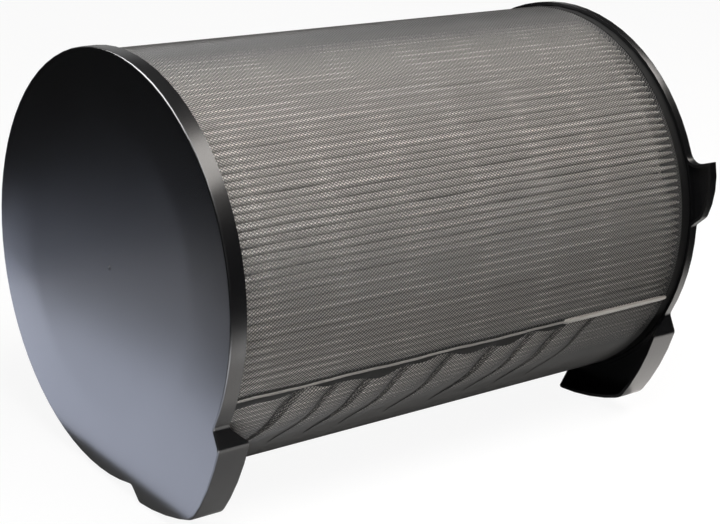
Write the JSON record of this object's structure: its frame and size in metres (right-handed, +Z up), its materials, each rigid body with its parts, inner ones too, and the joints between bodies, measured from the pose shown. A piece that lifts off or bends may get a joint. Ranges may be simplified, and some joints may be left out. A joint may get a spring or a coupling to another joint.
{
  "type": "air purifier filter",
  "caption": "Cylindrical pleated air purifier filter under a plastic net sleeve, with a closed end cap, an open end ring and hollow feet moulded on both.",
  "frame": {"origin": "middle of the footprint's bounding box, on the surface the filter lies on", "axes": "+X along the filter's axis towards the open end, +Z up with the filter lying on its two feet and one ear"},
  "size_m": [0.3416, 0.25, 0.2428],
  "materials": {
    "black_plastic": "moulded, slight sheen",
    "casting_compound": "cast, dull",
    "filter_paper": "warm grey pleated paper",
    "plastic_net": "fine diagonal net",
    "welded_net": "net melted flat, glossy",
    "hot_melt_glue": "thin bead",
    "carbon_cloth": "dull black",
    "foam_rubber": "soft closed-cell foam"
  },
  "bodies": {
    "root": {"closed_end_cap": "black_plastic", "open_end_cap": "black_plastic", "closed_end_potting": "casting_compound", "open_end_potting": "casting_compound", "pleated_media": "filter_paper", "net_sleeve": "plastic_net", "seam_strip": "welded_net", "carbon_sleeve": "carbon_cloth", "inner_core": "black_plastic", "sealing_gasket": "foam_rubber", "spacer_bead_1": "hot_melt_glue", "spacer_bead_2": "hot_melt_glue", "spacer_bead_3": "hot_melt_glue", "spacer_bead_4": "hot_melt_glue", "spacer_bead_5": "hot_melt_glue", "spacer_bead_6": "hot_melt_glue", "spacer_bead_7": "hot_melt_glue"}
  },
  "joints": []
}
